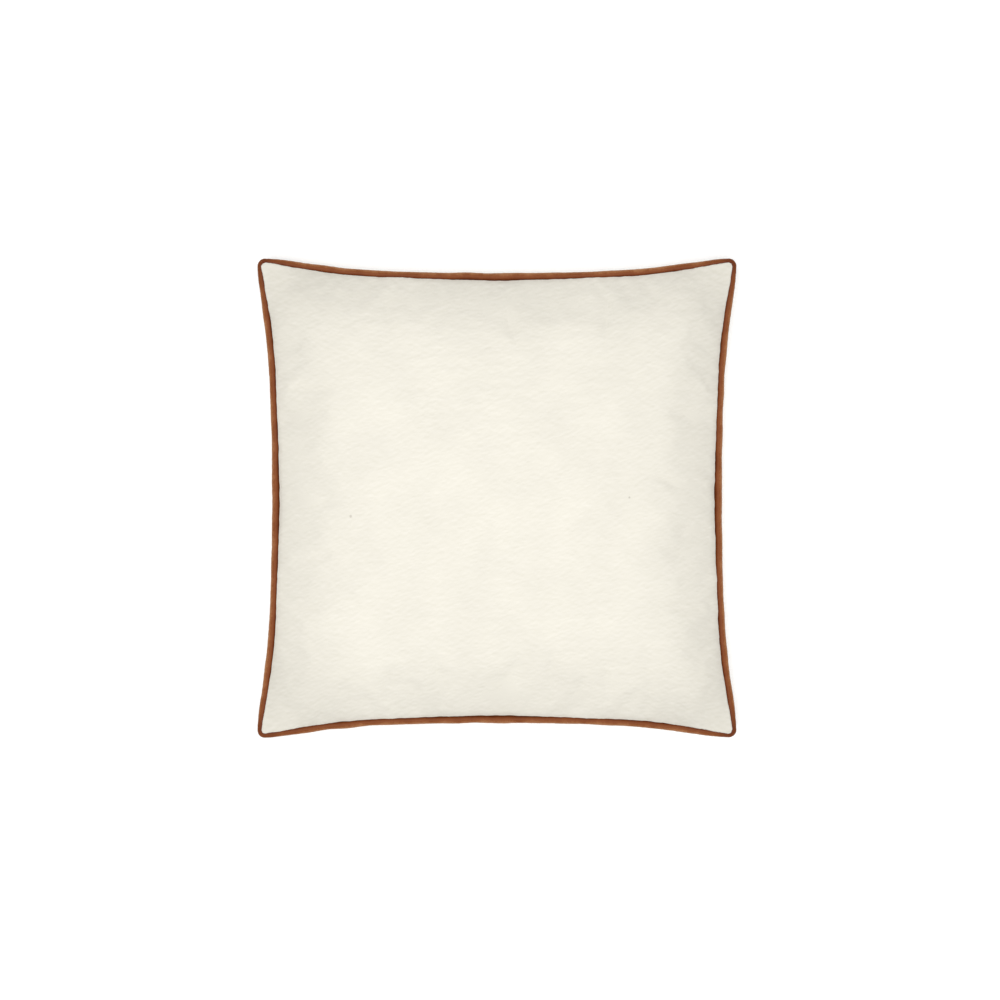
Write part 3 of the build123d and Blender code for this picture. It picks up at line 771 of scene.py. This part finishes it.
# %% Plain textile finishes
def textile(name, dark, light, pitch, turn=45.0, relief=0.08, rough=0.85, sheen=0.1, metal=0.0):
    """A matt finish with a fine twill or ply of that pitch in millimetres, and cloudy uneven colour."""
    material, tree, shader = start_material(name)
    spot = add(tree, "ShaderNodeTexCoord").outputs["Object"]
    turned = add(tree, "ShaderNodeMapping", {"Vector": spot, "Rotation": (0.3, 0.0, math.radians(turn))})
    ply = add(tree, "ShaderNodeTexWave", {"Vector": turned.outputs[0], "Scale": per_mm(pitch) / 6.28,
                                         "Distortion": 1.5, "Detail": 2.0, "Detail Scale": 2.0})
    cloud = add(tree, "ShaderNodeTexNoise", {"Vector": spot, "Scale": per_mm(9 * pitch), "Detail": 3.0})
    share = add(tree, "ShaderNodeMath", {0: ply.outputs["Fac"], 1: 0.6, 2: cloud.outputs["Fac"]},
                operation="MULTIPLY_ADD")
    mixed = add(tree, "ShaderNodeMapRange", {"Value": share.outputs[0], "From Min": 0.3, "From Max": 1.2})
    colour = add(tree, "ShaderNodeMix", {0: mixed.outputs[0], 6: linear(dark), 7: linear(light)},
                 data_type="RGBA")
    gloss = add(tree, "ShaderNodeMapRange", {"Value": cloud.outputs["Fac"], "From Min": 0.3, "From Max": 0.7,
                                            "To Min": rough - 0.06, "To Max": rough + 0.06})
    bumps = add(tree, "ShaderNodeBump", {"Height": ply.outputs["Fac"], "Distance": relief * MM,
                                        "Strength": 0.8})
    tree.links.new(colour.outputs[2], shader.inputs["Base Color"])
    tree.links.new(gloss.outputs[0], shader.inputs["Roughness"])
    tree.links.new(bumps.outputs[0], shader.inputs["Normal"])
    shader.inputs["Sheen Weight"].default_value = sheen
    shader.inputs["Metallic"].default_value = metal
    return material


thread = textile("polyester_sewing_thread", "#C9C3B0", "#EFEADB", 0.3, relief=0.05, rough=0.55)
cotton = textile("twisted_cotton_cord", "#CFC6B2", "#F1ECDF", 0.6, rough=0.9)
twill = textile("woven_polyester_tape", "#C4BCA7", "#DDD6C4", 0.5, relief=0.06, rough=0.75)
satin = textile("woven_satin_label", "#E3DFD2", "#F6F3EA", 0.4, turn=0.0, relief=0.03, rough=0.5)
calico = textile("plain_cotton_calico", "#D8D2C2", "#EDE8DB", 0.6, turn=0.0, rough=0.9)
fibre = textile("siliconised_polyester_fibre", "#DFE0DC", "#FAFAF7", 3.0, relief=0.6, rough=0.95)
nylon = textile("nylon_monofilament", "#B9AF99", "#D6CDB8", 0.8, relief=0.01, rough=0.38, sheen=0.0)
brass = textile("antique_brass", "#7A5A30", "#B48E55", 0.5, relief=0.015, rough=0.36, sheen=0.0, metal=1.0)
print(len(bpy.data.materials), "materials")

# %% [markdown]
# ## The line of the zip
# The zip is sewn into the bottom side, which bows inwards. It has to run on one circle, or its slider
# couldn't travel, so everything on it is placed on an arc about a far upright axis. The chain leans at 60
# degrees, tucked under the piping. Two small functions give the place of a point on that leaning chain.

# %% Places on the zip
bottom = half_y - side_inset
zip_half = 152.5
sag = side_inset * (1 - pull_in(zip_half / half_x))
bow = (zip_half**2 + sag**2) / (2 * sag)
lean = math.radians(60)


def on_arc(along, s, z):
    """Points carried along the zip's circle, from their inset and height at its middle."""
    turn = np.asarray(along, float) / bow
    return np.stack([(s + bow) * np.sin(turn), -bottom - bow + (s + bow) * np.cos(turn), z + 0 * turn], -1)


def on_chain(down, out):
    """Inset and height of a point that far down the chain's slope and that far out of it."""
    return (seam - 0.3 + down * math.cos(lean) - out * math.sin(lean),
            -1.2 - down * math.sin(lean) - out * math.cos(lean))


print(f"the zip bows in {sag:.1f} mm over {2 * zip_half:.0f} mm")


# %% [markdown]
# ## Woven tapes and labels
# A tape or a label is a thin strip: one outline of points, carried along a line. The tapes follow the zip,
# and get a slight ripple where nothing holds them. The labels hang in soft curves between the cover and the
# insert.

# %% Strips
def sweep_strip(name, path, thick, carry, steps, material, node, ripple=0.0):
    """A closed strip: a path of (inset, height) points with a thickness, carried along by a function."""
    path = np.asarray(path, float)
    away = np.gradient(path, axis=0)
    away /= np.linalg.norm(away, axis=1, keepdims=True)
    side = np.stack([-away[:, 1], away[:, 0]], -1) * thick / 2
    outline = np.concatenate([path + side, (path - side)[::-1]])
    wave = ripple * waves(steps[:, None], 0 * steps[:, None], len(name), 10, 40.0, 0)
    points = np.stack([carry(steps, s, z) for s, z in outline], 1)
    points[..., 2] += wave * np.sin(np.linspace(0, np.pi, len(outline)))
    count = len(outline)
    faces = tube_faces(len(steps), count, closed=False)
    faces += [list(range(count))[::-1], [(len(steps) - 1) * count + k for k in range(count)]]
    piece = make_piece(name, points.reshape(-1, 3), faces, material)
    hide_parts(node)
    return piece


def curve_through(points, count):
    """A smooth line of count points through the corners given, rounded by averaging."""
    points = np.asarray(points, float)
    at = np.linspace(0, len(points) - 1, count)
    line = np.stack([np.interp(at, range(len(points)), points[:, k]) for k in (0, 1)], -1)
    for _ in range(count // 3):
        line[1:-1] = (line[:-2] + 2 * line[1:-1] + line[2:]) / 4
    return line


tape_half = 158.5
tape_steps = np.linspace(-tape_half, tape_half, 160)
chain = 6.4  # from the seam down the slope to the middle of the chain
tape_mid = -0.9  # middle of the tape's thickness, out of the chain's plane
upper_start, lower_start = on_chain(chain - 0.6, tape_mid), on_chain(chain + 0.6, tape_mid)
upper_turn, lower_turn = on_chain(0.85, tape_mid), on_chain(9.8, tape_mid)
tape_thick = 0.56
sweep_strip("zip_tape_above", [upper_start, on_chain(3.2, tape_mid), upper_turn, (7.6, -1.7), (15.5, -1.7)],
            tape_thick, on_arc, tape_steps, twill, "zip_tape_upper")
sweep_strip("zip_tape_below", [lower_start, lower_turn, (11.4, -9.5), (18.7, -9.5)],
            tape_thick, on_arc, tape_steps, twill, "zip_tape_lower")


def on_side(side):
    """Carries a strip straight along the middle of the left or right side."""
    def carry(along, s, z):
        across = side * (half_x - side_inset - s)
        return np.stack([across + 0 * along, along, z + 0 * along], -1)
    return carry


def node_span(node):
    """A CAD node's box, in millimetres about the seam plane."""
    return [np.array(c) / MM - (0, 0, seam_height / MM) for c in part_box(node)]


care_low = node_span("cover_care_label")[0]
care_path = curve_through([(9.8, -2.9), (17.6, -3.0), (24.0, -9.5), (33.6, care_low[2] + 0.8)], 24)
care = sweep_strip("care_label", care_path, 0.4, on_side(-1), np.linspace(-15, 15, 25), satin,
                   "cover_care_label")
tag_high = node_span("insert_label")[1]
tag_path = curve_through([(17.9, 0.05), (18.0, 3.6), (24.5, 10.0), (32.6, tag_high[2] - 0.6)], 24)
tag = sweep_strip("insert_tag", tag_path, 0.28, on_side(1), np.linspace(-20, 20, 25), satin,
                  "insert_label")


# %% [markdown]
# ## Stitches and coils
# Thread and zip coils repeat one small shape along a line, which is what Geometry Nodes are for. One tree
# places a rice-grain stitch at every pitch along a line, and one places a bent loop of wire. Their sizes are
# inputs, so the same trees make the seam thread, the hem stitching, the overlocked edge and both rows of the
# zip's coil.

# %% Two trees
def new_tree(name, sizes):
    """A Geometry Nodes tree with named number inputs and a material input."""
    tree = bpy.data.node_groups.new(name, "GeometryNodeTree")
    for way in ("INPUT", "OUTPUT"):
        tree.interface.new_socket("Geometry", in_out=way, socket_type="NodeSocketGeometry")
    for label, value in sizes.items():
        socket = tree.interface.new_socket(label, in_out="INPUT", socket_type="NodeSocketFloat")
        socket.default_value = value
    tree.interface.new_socket("Finish", in_out="INPUT", socket_type="NodeSocketMaterial")
    start = tree.nodes.new("NodeGroupInput").outputs
    line = add(tree, "GeometryNodeMeshToCurve", {"Mesh": start["Geometry"]})
    places = add(tree, "GeometryNodeResampleCurve", {"Curve": line.outputs[0], "Length": start["Pitch"]},
                 mode="LENGTH")
    heading = add(tree, "ShaderNodeSeparateXYZ", {0: add(tree, "GeometryNodeInputTangent").outputs[0]})
    turn = add(tree, "ShaderNodeMath", {0: heading.outputs[1], 1: heading.outputs[0]}, operation="ARCTAN2")
    uneven = add(tree, "FunctionNodeRandomValue", {2: -1.0, 3: 1.0, "Seed": 4}, data_type="FLOAT")
    sway = add(tree, "ShaderNodeMath", {0: uneven.outputs[1], 1: start["Unevenness"], 2: turn.outputs[0]},
               operation="MULTIPLY_ADD")
    facing = add(tree, "ShaderNodeCombineXYZ", {"X": start["Tilt"], "Z": sway.outputs[0]})
    return tree, start, places, facing


def end_tree(tree, start, places, facing, shape):
    """Puts the shape at every place, turns the copies to a mesh and gives it its finish."""
    copies = add(tree, "GeometryNodeInstanceOnPoints", {"Points": places.outputs[0], "Instance": shape,
                                                       "Rotation": facing.outputs[0]})
    mesh = add(tree, "GeometryNodeRealizeInstances", {0: copies.outputs[0]})
    smooth = add(tree, "GeometryNodeSetShadeSmooth", {0: mesh.outputs[0]})
    finish = add(tree, "GeometryNodeSetMaterial", {0: smooth.outputs[0], "Material": start["Finish"]})
    add(tree, "NodeGroupOutput", {0: finish.outputs[0]})
    return tree


def stitch_tree():
    sizes = {"Pitch": 3 * MM, "Length": 2.4 * MM, "Thread": 0.5 * MM, "Tilt": 0.0, "Unevenness": 0.05}
    tree, start, places, facing = new_tree("stitches", sizes)
    grain = add(tree, "GeometryNodeMeshUVSphere", {"Segments": 8, "Rings": 5, "Radius": 0.5})
    size = add(tree, "ShaderNodeCombineXYZ", {"X": start["Length"], "Y": start["Thread"], "Z": start["Thread"]})
    turned = add(tree, "GeometryNodeTransform", {0: grain.outputs[0], "Rotation": (0, math.pi / 2, 0)})
    shape = add(tree, "GeometryNodeTransform", {0: turned.outputs[0], "Scale": size.outputs[0]})
    return end_tree(tree, start, places, facing, shape.outputs[0])


def loop_tree():
    sizes = {"Pitch": 1.25 * MM, "Width": 1.7 * MM, "Height": 1.4 * MM, "Wire": 0.22 * MM, "Tilt": 0.0,
             "Slant": 0.3, "Unevenness": 0.0}
    tree, start, places, facing = new_tree("wire_loops", sizes)
    hoop = add(tree, "GeometryNodeCurvePrimitiveCircle", {"Resolution": 14, "Radius": 0.5})
    upright = add(tree, "GeometryNodeTransform", {0: hoop.outputs[0],
                                                 "Rotation": (math.pi / 2, 0, math.pi / 2)})
    size = add(tree, "ShaderNodeCombineXYZ", {"X": 1.0, "Y": start["Width"], "Z": start["Height"]})
    sized = add(tree, "GeometryNodeTransform", {0: upright.outputs[0], "Scale": size.outputs[0]})
    slant = add(tree, "ShaderNodeCombineXYZ", {"Z": start["Slant"]})
    slanted = add(tree, "GeometryNodeTransform", {0: sized.outputs[0], "Rotation": slant.outputs[0]})
    wire = add(tree, "GeometryNodeCurvePrimitiveCircle", {"Resolution": 6, "Radius": start["Wire"]})
    shape = add(tree, "GeometryNodeCurveToMesh", {"Curve": slanted.outputs[0],
                                                 "Profile Curve": wire.outputs[0]})
    return end_tree(tree, start, places, facing, shape.outputs[0])


stitches, wire_loops = stitch_tree(), loop_tree()
print("trees:", [t.name for t in bpy.data.node_groups])


# %% [markdown]
# A tree runs as a modifier on a line of points. Its inputs are set before the line is first evaluated, and
# the result is kept as a plain mesh, because a library part can't carry a live modifier.

# %% Growing shapes along a line
def grow(tree, lines, closed, sizes, finish):
    """Mesh of a tree's shapes along lines of points in millimetres, as (points, faces) in metres."""
    corners, edges, first = [], [], 0
    for line in lines:
        corners += (np.asarray(line) * MM + (0, 0, seam_height)).tolist()
        edges += [(first + k, first + k + 1) for k in range(len(line) - 1)]
        if closed:
            edges.append((first + len(line) - 1, first))
        first += len(line)
    mesh = bpy.data.meshes.new("line")
    mesh.from_pydata(corners, edges, [])
    holder = bpy.data.objects.new("line", mesh)
    bpy.context.scene.collection.objects.link(holder)
    modifier = holder.modifiers.new("shapes", "NODES")
    modifier.node_group = tree
    for socket in tree.interface.items_tree:
        if socket.name in sizes:
            modifier[socket.identifier] = float(sizes[socket.name])
        if socket.name == "Finish":
            modifier[socket.identifier] = finish
    grown = bpy.data.meshes.new_from_object(holder.evaluated_get(bpy.context.evaluated_depsgraph_get()))
    bpy.data.objects.remove(holder)
    return grown


def grown_piece(name, node, meshes, body="cushion"):
    """One piece from meshes that trees have grown, in place of its CAD node."""
    parts = [bpy.data.objects.new(name, mesh) for mesh in meshes]
    for part in parts:
        bpy.context.scene.collection.objects.link(part)
    if len(parts) > 1:
        with bpy.context.temp_override(active_object=parts[0], object=parts[0], selected_editable_objects=parts,
                                       selected_objects=parts):
            bpy.ops.object.join()
    piece = parts[0]
    piece.name = name
    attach(piece, body)
    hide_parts(node)
    print(f"{name}: {len(piece.data.polygons)} faces")


def outline_line(s, z, per_side=90):
    """A closed line round the pillow at an inset and height."""
    u, v = edge_uv(per_side, per_side)
    x, y = place(u, v, s, s)
    return np.stack([x, y, z + 0 * x], -1)


def past_the_slot(s, z):
    """The same line without its stretch along the zip's opening."""
    u, v = edge_uv(180, 180)
    x, y = place(u, v, s, s)
    line = np.stack([x, y, z + 0 * x], -1)
    keep = ~((np.abs(x) < slot_half + 1) & (y < 0))
    start = int(np.argmax(~keep & np.roll(keep, -1))) + 1
    return np.roll(line, -start, 0)[np.roll(keep, -start)]


seam_row, insert_row, overlock_row = 7.6, 21.1, 15.75  # insets from the piping's centre line
seam_thread = {"Pitch": 3 * MM, "Length": 2.7 * MM, "Thread": 0.45 * MM}
grown_piece("seam_needle_thread", "cover_seam_needle_thread",
            [grow(stitches, [outline_line(seam_row, 2.76)], True, seam_thread, thread)])
grown_piece("seam_bobbin_thread", "cover_seam_bobbin_thread",
            [grow(stitches, [past_the_slot(seam_row, -2.76)], False, seam_thread, thread)])
grown_piece("insert_seam_stitches", "insert_seam_thread",
            [grow(stitches, [outline_line(insert_row, 1.04)], True,
                  {"Pitch": 2.8 * MM, "Length": 2.5 * MM, "Thread": 0.28 * MM}, thread)])
overlock_loops = {"Pitch": 2.4 * MM, "Width": 3.0 * MM, "Height": 5.1 * MM, "Wire": 0.13 * MM, "Slant": 0.35}
grown_piece("overlocked_edge", "cover_overlock_thread",
            [grow(wire_loops, [outline_line(overlock_row, 0.0)], True, overlock_loops, thread)])

# %% [markdown]
# ## The coil, its stops and its stitching
# A coil zip's teeth are one nylon wire wound into loops and sewn to each tape. The two coils almost meet, and
# the thin post of the slider runs between them. Metal stops end the chain, and bar tacks close the slot's
# ends. One row of stitches holds the upper tape to the piping's strip, one holds the lower tape to the hem,
# and a third row shows outside, along the hem's folded edge.

# %% Zip rows
chain_half, row_half = 149.0, 155.5  # half the length of the coils and of the tapes' stitching
chain_steps = np.linspace(-chain_half, chain_half, 200)
coil_sizes = {"Pitch": 1.25 * MM, "Width": 1.6 * MM, "Height": 1.3 * MM, "Wire": 0.2 * MM,
              "Tilt": math.radians(120), "Slant": 0.32}
for name, node, away in (("coil_above", "zip_coil_upper", -1.35), ("coil_below", "zip_coil_lower", 1.35)):
    s, z = on_chain(chain + away, 0.35)
    coil = grow(wire_loops, [on_arc(chain_steps, s, z)], False, coil_sizes, nylon)
    grown_piece(name, node, [coil])

row_steps = np.linspace(-row_half, row_half, 200)
rows = [on_arc(row_steps, 12.6, -2.28), on_arc(row_steps, 15.6, -8.95)]
row_thread = {"Pitch": 3 * MM, "Length": 2.5 * MM, "Thread": 0.34 * MM}
u = np.linspace(-150, 150, 200) / corner(seam)[0]
hem_row = 13.2  # depth of the row that shows, below the seam plane
v = -depth_place(u, hem_row, rim, back_top)
x, y = place(u, v, seam - 0.25, seam - 0.25)
shown_row = np.stack([x, y, -hem_row - 0.2 + 0 * x], -1)
shown_thread = {"Pitch": 3.4 * MM, "Length": 2.9 * MM, "Thread": 0.75 * MM, "Unevenness": 0.06}
grown_piece("zip_stitch_rows", "zip_stitching",
            [grow(stitches, rows, False, row_thread, thread),
             grow(stitches, [shown_row], False, shown_thread, thread)])


# %% [markdown]
# ## Metal parts
# The slider, the pull tab and the stops are small brass castings, tumbled until their edges are soft. The CAD
# shapes are right, so a copy of each is taken, its loose triangles are merged, and its edges get a tiny
# bevel.

# %% Bevelled copies
def softened(name, node, width, material, body="cushion"):
    """A copy of a CAD node with its edges rounded by a width in millimetres."""
    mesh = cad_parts[node].data.copy()
    mesh.name = name
    shape = bmesh.new()
    shape.from_mesh(mesh)
    bmesh.ops.remove_doubles(shape, verts=shape.verts, dist=0.002 * MM)
    bmesh.ops.dissolve_limit(shape, angle_limit=math.radians(4), verts=shape.verts, edges=shape.edges)
    shape.to_mesh(mesh)
    shape.free()
    mesh.materials.clear()
    mesh.materials.append(material)
    piece = bpy.data.objects.new(name, mesh)
    bpy.context.scene.collection.objects.link(piece)
    bevel = piece.modifiers.new("soft edges", "BEVEL")
    bevel.width = width * MM
    bevel.segments = 2
    bevel.limit_method = "ANGLE"
    bevel.angle_limit = math.radians(35)
    rounded = bpy.data.meshes.new_from_object(piece.evaluated_get(bpy.context.evaluated_depsgraph_get()))
    piece.modifiers.clear()
    piece.data = rounded
    rounded.polygons.foreach_set("use_smooth", [False] * len(rounded.polygons))
    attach(piece, body)
    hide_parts(node)
    print(f"{name}: {len(rounded.polygons)} faces")


softened("slider", "zip_slider", 0.14, brass, "zip_slider")
softened("pull_tab", "zip_pull_tab", 0.16, brass, "zip_pull_tab")
softened("top_stops", "zip_top_stops", 0.2, brass)
softened("bottom_stop", "zip_bottom_stop", 0.2, brass)
tack_ends = np.array([row_half, 157.1])
tack_rows = [on_arc(end * tack_ends, *on_chain(down, 0.1))
             for end in (-1, 1) for down in np.arange(3.5, 9.5, 0.45)]
grown_piece("bar_tacks", "zip_bar_tacks",
            [grow(stitches, tack_rows, False,
                  {"Pitch": 1.5 * MM, "Length": 1.6 * MM, "Thread": 0.6 * MM, "Unevenness": 0.1}, thread)])

# %% [markdown]
# ## The cord inside the piping
# Piping is filled with a cotton cord of three twisted strands. Each strand is a round tube that winds about
# the piping's centre line.

# %% Cotton cord
twist_pitch = 17  # millimetres along the cord for one turn of a strand
strand, strand_out = 1.4, 1.36  # a strand's radius, and how far its middle is from the cord's
turns = round(total / twist_pitch)
strand_points, strand_faces = [], []
strand_angle = np.linspace(0, 2 * np.pi, 9, endpoint=False)
cord_line, cord_out, _ = piping_line(230, 12)
cord_run, cord_total = length_along(cord_line)
for number in range(3):
    twist = 2 * np.pi * (turns * cord_run / cord_total + number / 3)
    core = np.stack([strand_out * np.cos(twist), strand_out * np.sin(twist)], -1)
    ring_out = core[:, None, 0] + strand * np.cos(strand_angle)
    ring_up = core[:, None, 1] + strand * np.sin(strand_angle)
    spots = cord_line[:, None, :] + cord_out[:, None, :] * ring_out[..., None]
    spots = np.concatenate([spots, ring_up[..., None]], -1)
    strand_faces += tube_faces(len(cord_line), 9, first=number * len(cord_line) * 9)
    strand_points.append(spots.reshape(-1, 3))
cord = make_piece("cord_strands", np.concatenate(strand_points), strand_faces, cotton)
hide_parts("piping_filler_cord")

# %% [markdown]
# ## The insert
# Inside the cover lies a plain pillow of its own: two calico shells sewn together, stuffed with fibre. It
# keeps a millimetre or so clear of the cover. The same functions make it, with its own insets and heights,
# and the filling is a lumpy body between the shells.

# %% Insert shells and filling
cover_gap = 2.1  # from the cover's outside to the insert's


def insert_shell(name, node, side, height, seed):
    """One calico half of the insert, in place of its CAD node."""
    nx, coarse, base = 120, 60, 2.1
    edge = 18.7  # the shell's fold, inwards from the piping's centre line
    floor = rest_depth - cover_gap if side < 0 else None
    u, v = grid_uv(nx, nx)
    x, y = place(u, v, edge, edge)
    inside = off_the_edge(u, v, 24)
    z = base + (height - base) * crown(u) * crown(v)
    relief = 0.14 * crinkle(u * flat_half, v * flat_half, seed) * inside
    relief = relief - 0.35 * (np.maximum(np.abs(u), np.abs(v)) ** 14) * inside * (
        1 + waves(np.where(np.abs(u) > np.abs(v), v, u) * 230, 0 * u, seed + 1, 12, 15.0, 0))
    z = on_floor(z + relief - 0.15, floor) if floor else z + relief - 0.15
    face = np.stack([x, y, side * z], -1).reshape(-1, 3)
    ring_u, ring_v = edge_uv(nx, nx)
    rings = []
    turned_in = ((18.7, 1.2), (18.9, 0.45), (19.6, 0.2), (26.7, 0.2), (26.7, 0.7), (20.4, 0.7), (20.0, 1.2))
    for s, depth in turned_in:
        x, y = place(ring_u, ring_v, s, s)
        rings.append(np.stack([x, y, side * depth + 0 * x], -1))
    back_floor = floor - 0.5 if floor else None
    inner, inner_u, inner_v = lining(side, 19.6, 1.6, height - 0.75, coarse, back_floor)
    points, faces = join_skin(face, rings, inner, nx, nx, coarse, side)
    flat = flat_places(u, v, len(rings), nx, nx, inner_u, inner_v)
    shell = make_piece(name, points, faces, calico, flat=flat)
    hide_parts(node)


insert_top, insert_back = front_top - cover_gap, back_top - cover_gap
insert_shell("insert_front", "insert_front_shell", 1, insert_top, 300)
insert_shell("insert_back", "insert_back_shell", -1, insert_back, 310)

fill_grid = 110
u, v = grid_uv(fill_grid, fill_grid)
lumps = waves(u * flat_half, v * flat_half, 320, 30, 38.0, 38.0, 1.0)
inside = off_the_edge(u, v, 20)
x, y = place(u, v, 20.6, 20.6)
rise = crown(u) * crown(v)
front_z = 1.7 + (insert_top - 3.4) * rise - 0.35 * (1 + lumps) * inside
back_z = 1.7 + (insert_back - 3.4) * rise - 0.35 * (1 - lumps) * inside
back_z = on_floor(back_z, rest_depth - 3.8)
faces = grid_faces(fill_grid, fill_grid, 0).tolist()
faces += (grid_faces(fill_grid, fill_grid, (fill_grid + 1) ** 2)[:, ::-1]).tolist()
edge = grid_edge(fill_grid, fill_grid, 0)
count = (fill_grid + 1) ** 2
rings = [outline_line(s, z, fill_grid) for s, z in ((28.2, 1.5), (28.2, -1.5))]
first, second = 2 * count + np.arange(len(edge)), 2 * count + len(edge) + np.arange(len(edge))
for near, far in ((edge, first), (first, second), (second, count + edge)):
    faces += strip_faces(near, far).tolist()
sides = [np.stack([x, y, z], -1).reshape(-1, 3) for z in (front_z, -back_z)]
points = np.concatenate([*sides, *rings])
filling = make_piece("fibre_filling", points, faces, fibre)
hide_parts("insert_fill")

# %% [markdown]
# ## The studio
# The pillow is seen from straight above, from about three metres, so that its outline is almost free of
# perspective. One very large soft light hangs over it, and a pale room lights the sides.

# %% Camera
view_width, view_distance = 1.0593, 3.0
camera_data = bpy.data.cameras.new("camera")
camera_data.sensor_width = 36.0
camera_data.lens = camera_data.sensor_width * view_distance / view_width
camera = bpy.data.objects.new("camera", camera_data)
camera.location = (0.0032, -0.0021, seam_height + view_distance)  # a hair off the middle
bpy.context.scene.collection.objects.link(camera)
bpy.context.scene.camera = camera

# %% Floor and light
scene = bpy.context.scene
scene.view_settings.view_transform = "Standard"
floor_material, tree, shader = start_material("matt_white_board")
shader.inputs["Base Color"].default_value = linear("#FAFAFA")
shader.inputs["Roughness"].default_value = 0.9
shader.inputs["Specular IOR Level"].default_value = 0.1
shader.inputs["Emission Color"].default_value = linear("#FFFFFF")
shader.inputs["Emission Strength"].default_value = 0.17  # the board is lit from below, so shadows stay pale
mesh = bpy.data.meshes.new("floor")
mesh.from_pydata([(-6, -6, 0), (6, -6, 0), (6, 6, 0), (-6, 6, 0)], [], [(0, 1, 2, 3)])
mesh.materials.append(floor_material)
floor = bpy.data.objects.new("floor", mesh)
scene.collection.objects.link(floor)

world = bpy.data.worlds.new("pale_room")
world.use_nodes = True
world.node_tree.nodes.clear()
sky = add(world.node_tree, "ShaderNodeBackground", {"Color": linear("#FFFFFF"), "Strength": 0.4})
add(world.node_tree, "ShaderNodeOutputWorld", {"Surface": sky.outputs[0]})
scene.world = world

lamp_data = bpy.data.lights.new("softbox", "AREA")
lamp_data.shape = "SQUARE"
lamp_data.size = 1.6
lamp_data.energy = 93
lamp = bpy.data.objects.new("softbox", lamp_data)
lamp.location = (-0.12, -0.16, 3.4)
lamp.rotation_euler = (math.radians(3), math.radians(-2), 0)
scene.collection.objects.link(lamp)
print("camera and light placed")
